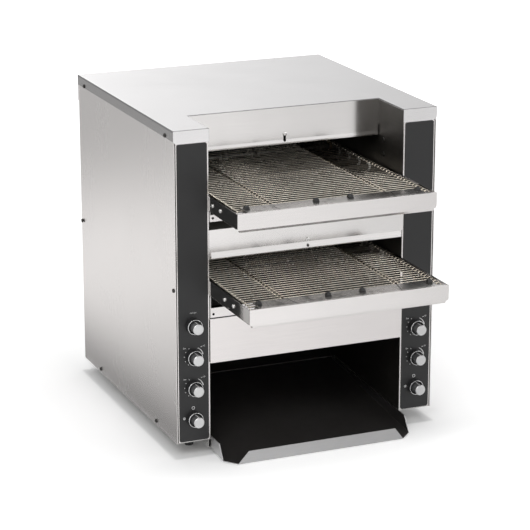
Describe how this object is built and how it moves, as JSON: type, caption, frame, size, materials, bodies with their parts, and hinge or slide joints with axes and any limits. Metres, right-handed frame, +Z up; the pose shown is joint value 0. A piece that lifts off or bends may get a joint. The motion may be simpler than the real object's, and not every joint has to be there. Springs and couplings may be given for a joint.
{
  "type": "conveyor toaster",
  "caption": "Counter-top conveyor toaster with two wire belts under a notched steel casing, black control columns with round knobs, and a sloping catch tray at the base.",
  "frame": {"origin": "centre of the overall box in plan, at the height of the feet's undersides", "axes": "+Z up, +Y from the loading side to the rear, +X to the right as seen from the loading side"},
  "size_m": [0.5044, 0.713, 0.5925],
  "materials": {
    "stainless": "fine brushed stainless",
    "rail_steel": "satin stainless, heat darkened",
    "dark_steel": "heat-darkened coated steel",
    "black_plate": "satin black",
    "nonstick_tray": "dark non-stick coat",
    "belt_wire": "stainless wire, lightly toasted",
    "knob_satin": "turned satin face",
    "bezel_chrome": "bright ring",
    "foot_rubber": "matte",
    "black_plastic": "moulded",
    "element_sheath": "oxidised sheath",
    "ceramic_white": "steatite",
    "bushing_bronze": "sintered",
    "motor_grey": "cast and painted",
    "sprocket_steel": "blackened steel",
    "bright_steel": "bright zinc"
  },
  "bodies": {
    "casing": {"base_pan": "stainless", "belt_aprons": "stainless", "chamber_divider": "dark_steel", "column_left": "stainless", "column_right": "stainless", "control_plate_left": "black_plate", "control_plate_right": "black_plate", "conveyor_brackets": "stainless", "cord_gland": "black_plastic", "discharge_hood": "stainless", "drive_chains": "sprocket_steel", "element_insulators": "ceramic_white", "fan_housing": "black_plastic", "feet": "foot_rubber", "gearmotors": "motor_grey", "inner_wall_left": "dark_steel", "inner_wall_right": "dark_steel", "knob_bezels": "bezel_chrome", "lower_belt": "belt_wire", "lower_elements": "element_sheath", "lower_guard": "stainless", "lower_header": "stainless", "lower_rails": "rail_steel", "nose_shoes": "black_plastic", "pan_head_screws": "bright_steel", "rear_chute": "dark_steel", "rear_panel": "stainless", "roof_lid": "stainless", "rotary_switches": "black_plastic", "shaft_bushings": "bushing_bronze", "side_panel_left": "stainless", "side_panel_right": "stainless", "terminal_block": "black_plastic", "upper_belt": "belt_wire", "upper_elements": "element_sheath", "upper_guard": "stainless", "upper_header": "stainless", "upper_rails": "rail_steel", "upper_reflector": "dark_steel"},
    "upper_drive": {"upper_drive_shaft": "bright_steel", "upper_drive_sprockets": "sprocket_steel"},
    "upper_idler": {"upper_idler_shaft": "bright_steel", "upper_idler_sprockets": "sprocket_steel"},
    "upper_motor": {"upper_motor_sprocket": "sprocket_steel"},
    "lower_drive": {"lower_drive_shaft": "bright_steel", "lower_drive_sprockets": "sprocket_steel"},
    "lower_idler": {"lower_idler_shaft": "bright_steel", "lower_idler_sprockets": "sprocket_steel"},
    "lower_motor": {"lower_motor_sprocket": "sprocket_steel"},
    "upper_sliding_door": {"upper_door": "stainless"},
    "lower_sliding_door": {"lower_door": "stainless"},
    "tray": {"catch_tray": "nonstick_tray"},
    "fan": {"fan_rotor": "black_plastic"},
    "knob_left_1": {"knob_left_1": "knob_satin"},
    "knob_left_2": {"knob_left_2": "knob_satin"},
    "knob_left_3": {"knob_left_3": "knob_satin"},
    "knob_left_4": {"knob_left_4": "knob_satin"},
    "knob_right_1": {"knob_right_1": "knob_satin"},
    "knob_right_2": {"knob_right_2": "knob_satin"},
    "knob_right_3": {"knob_right_3": "knob_satin"}
  },
  "joints": [
    {"name": "upper_drive_spin", "type": "hinge", "parent": "casing", "child": "upper_drive", "pos_m": [0, 0.1397, 0.45667], "axis": [1, 0, 0], "continuous": true},
    {"name": "upper_idler_spin", "type": "hinge", "parent": "casing", "child": "upper_idler", "pos_m": [0, -0.2797, 0.45667], "axis": [1, 0, 0], "continuous": true},
    {"name": "upper_motor_spin", "type": "hinge", "parent": "casing", "child": "upper_motor", "pos_m": [0, 0.1397, 0.36667], "axis": [1, 0, 0], "continuous": true},
    {"name": "upper_door_slide", "type": "slide", "parent": "casing", "child": "upper_sliding_door", "axis": [0, 0, 1], "range_m": [-0.01, 0]},
    {"name": "lower_drive_spin", "type": "hinge", "parent": "casing", "child": "lower_drive", "pos_m": [0, 0.12225, 0.30467], "axis": [1, 0, 0], "continuous": true},
    {"name": "lower_idler_spin", "type": "hinge", "parent": "casing", "child": "lower_idler", "pos_m": [0, -0.3321, 0.30467], "axis": [1, 0, 0], "continuous": true},
    {"name": "lower_motor_spin", "type": "hinge", "parent": "casing", "child": "lower_motor", "pos_m": [0, 0.12225, 0.21467], "axis": [1, 0, 0], "continuous": true},
    {"name": "lower_door_slide", "type": "slide", "parent": "casing", "child": "lower_sliding_door", "axis": [0, 0, 1], "range_m": [-0.01, 0]},
    {"name": "tray_slide", "type": "slide", "parent": "casing", "child": "tray", "axis": [0, -1, 0], "range_m": [0, 0.28]},
    {"name": "fan_spin", "type": "hinge", "parent": "casing", "child": "fan", "pos_m": [-0.11, -0.1735, 0.1775], "axis": [0, 1, 0], "continuous": true},
    {"name": "knob_left_1_turn", "type": "hinge", "parent": "casing", "child": "knob_left_1", "pos_m": [-0.21625, -0.1735, 0.0711], "axis": [0, 1, 0], "range_deg": [0, 90]},
    {"name": "knob_left_2_turn", "type": "hinge", "parent": "casing", "child": "knob_left_2", "pos_m": [-0.21625, -0.1735, 0.1284], "axis": [0, 1, 0], "range_deg": [-135, 135]},
    {"name": "knob_left_3_turn", "type": "hinge", "parent": "casing", "child": "knob_left_3", "pos_m": [-0.21625, -0.1735, 0.1857], "axis": [0, 1, 0], "range_deg": [-135, 135]},
    {"name": "knob_left_4_turn", "type": "hinge", "parent": "casing", "child": "knob_left_4", "pos_m": [-0.21625, -0.1735, 0.243], "axis": [0, 1, 0], "range_deg": [-45, 45]},
    {"name": "knob_right_1_turn", "type": "hinge", "parent": "casing", "child": "knob_right_1", "pos_m": [0.21625, -0.1735, 0.0711], "axis": [0, 1, 0], "range_deg": [0, 90]},
    {"name": "knob_right_2_turn", "type": "hinge", "parent": "casing", "child": "knob_right_2", "pos_m": [0.21625, -0.1735, 0.1284], "axis": [0, 1, 0], "range_deg": [-135, 135]},
    {"name": "knob_right_3_turn", "type": "hinge", "parent": "casing", "child": "knob_right_3", "pos_m": [0.21625, -0.1735, 0.1857], "axis": [0, 1, 0], "range_deg": [-135, 135]}
  ],
  "couplings": [
    {"joint": "upper_idler_spin", "follows": "upper_drive_spin", "ratio": 1},
    {"joint": "upper_motor_spin", "follows": "upper_drive_spin", "ratio": 1.8},
    {"joint": "lower_idler_spin", "follows": "lower_drive_spin", "ratio": 1},
    {"joint": "lower_motor_spin", "follows": "lower_drive_spin", "ratio": 1.8}
  ]
}
